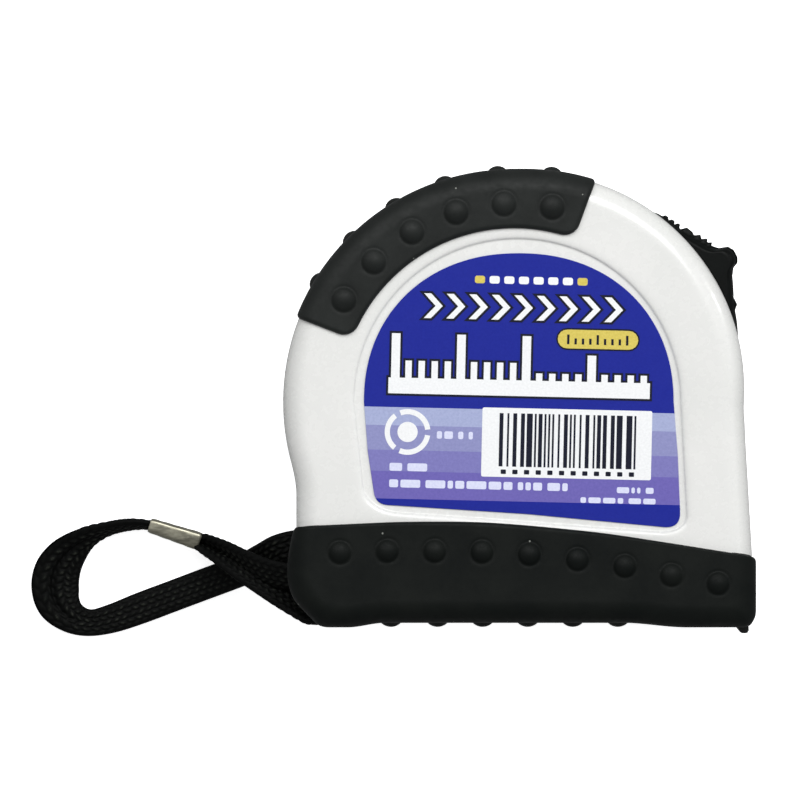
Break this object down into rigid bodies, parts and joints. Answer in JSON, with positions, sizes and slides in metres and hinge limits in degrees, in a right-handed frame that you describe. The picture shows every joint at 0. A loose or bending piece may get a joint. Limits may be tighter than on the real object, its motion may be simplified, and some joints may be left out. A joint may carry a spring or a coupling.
{
  "type": "tape measure",
  "caption": "Pocket tape measure in a round-backed two-shell case with rubber grip and boot, rim slide lock, end hook and a woven wrist strap.",
  "frame": {"origin": "on the surface the tape lies on, under the middle of the case's outline; the strap is not counted", "axes": "the tape lies on its rear face: +Z is the normal of the labelled front face, +X is the way the blade is pulled out, and +Y points from the base to the rounded top"},
  "size_m": [0.0967, 0.0633, 0.0248],
  "materials": {
    "case_white": "glossy moulded ABS, white",
    "grip_rubber": "soft matte black overmoulded rubber",
    "label_print": "printed label in blue and lavender, satin",
    "plated_steel": "zinc plated",
    "inner_plastic": "dark grey moulded nylon",
    "bumper_rubber": "firm black rubber",
    "lock_plastic": "black moulded ABS with a light grain",
    "spring_steel": "blued spring steel",
    "tape_paint": "yellow enamel with black graduations",
    "hook_black": "black oxide",
    "strap_nylon": "flat braided black nylon",
    "ferrule_nickel": "nickel plated sheet, satin"
  },
  "bodies": {
    "case": {"front_shell": "case_white", "rear_shell": "case_white", "grip_front": "grip_rubber", "grip_rear": "grip_rubber", "boot_front": "grip_rubber", "boot_rear": "grip_rubber", "face_label": "label_print", "case_screws": "plated_steel", "center_post": "inner_plastic", "post_washers": "plated_steel", "strap_pin": "plated_steel", "hook_bumper": "bumper_rubber", "wrist_strap": "strap_nylon", "strap_ferrule": "ferrule_nickel"},
    "reel": {"spring_drum": "inner_plastic", "drum_cover": "inner_plastic", "power_spring": "spring_steel", "blade_coil": "tape_paint"},
    "tape": {"blade": "tape_paint", "hook_rivets": "plated_steel"},
    "hook": {"end_hook": "hook_black"},
    "lock": {"lock_slider": "lock_plastic", "brake_pad": "bumper_rubber"}
  },
  "joints": [
    {"name": "blade_pull", "type": "slide", "parent": "case", "child": "tape", "axis": [1, 0, 0], "range_m": [0, 2], "stiffness_N_per_m": 0.6, "springref_m": -4},
    {"name": "reel_spin", "type": "hinge", "parent": "case", "child": "reel", "pos_m": [-0.0007, -0.00432, 0.0124], "axis": [0, 0, 1], "continuous": true},
    {"name": "hook_play", "type": "slide", "parent": "tape", "child": "hook", "axis": [1, 0, 0], "range_m": [0, 0.0009]},
    {"name": "lock_slide", "type": "hinge", "parent": "case", "child": "lock", "pos_m": [-0.0007, -0.0004, 0.0124], "axis": [0, 0, 1], "range_deg": [-8, 0]}
  ],
  "couplings": [
    {"joint": "reel_spin", "follows": "blade_pull", "rad_per_m": 48.5}
  ]
}
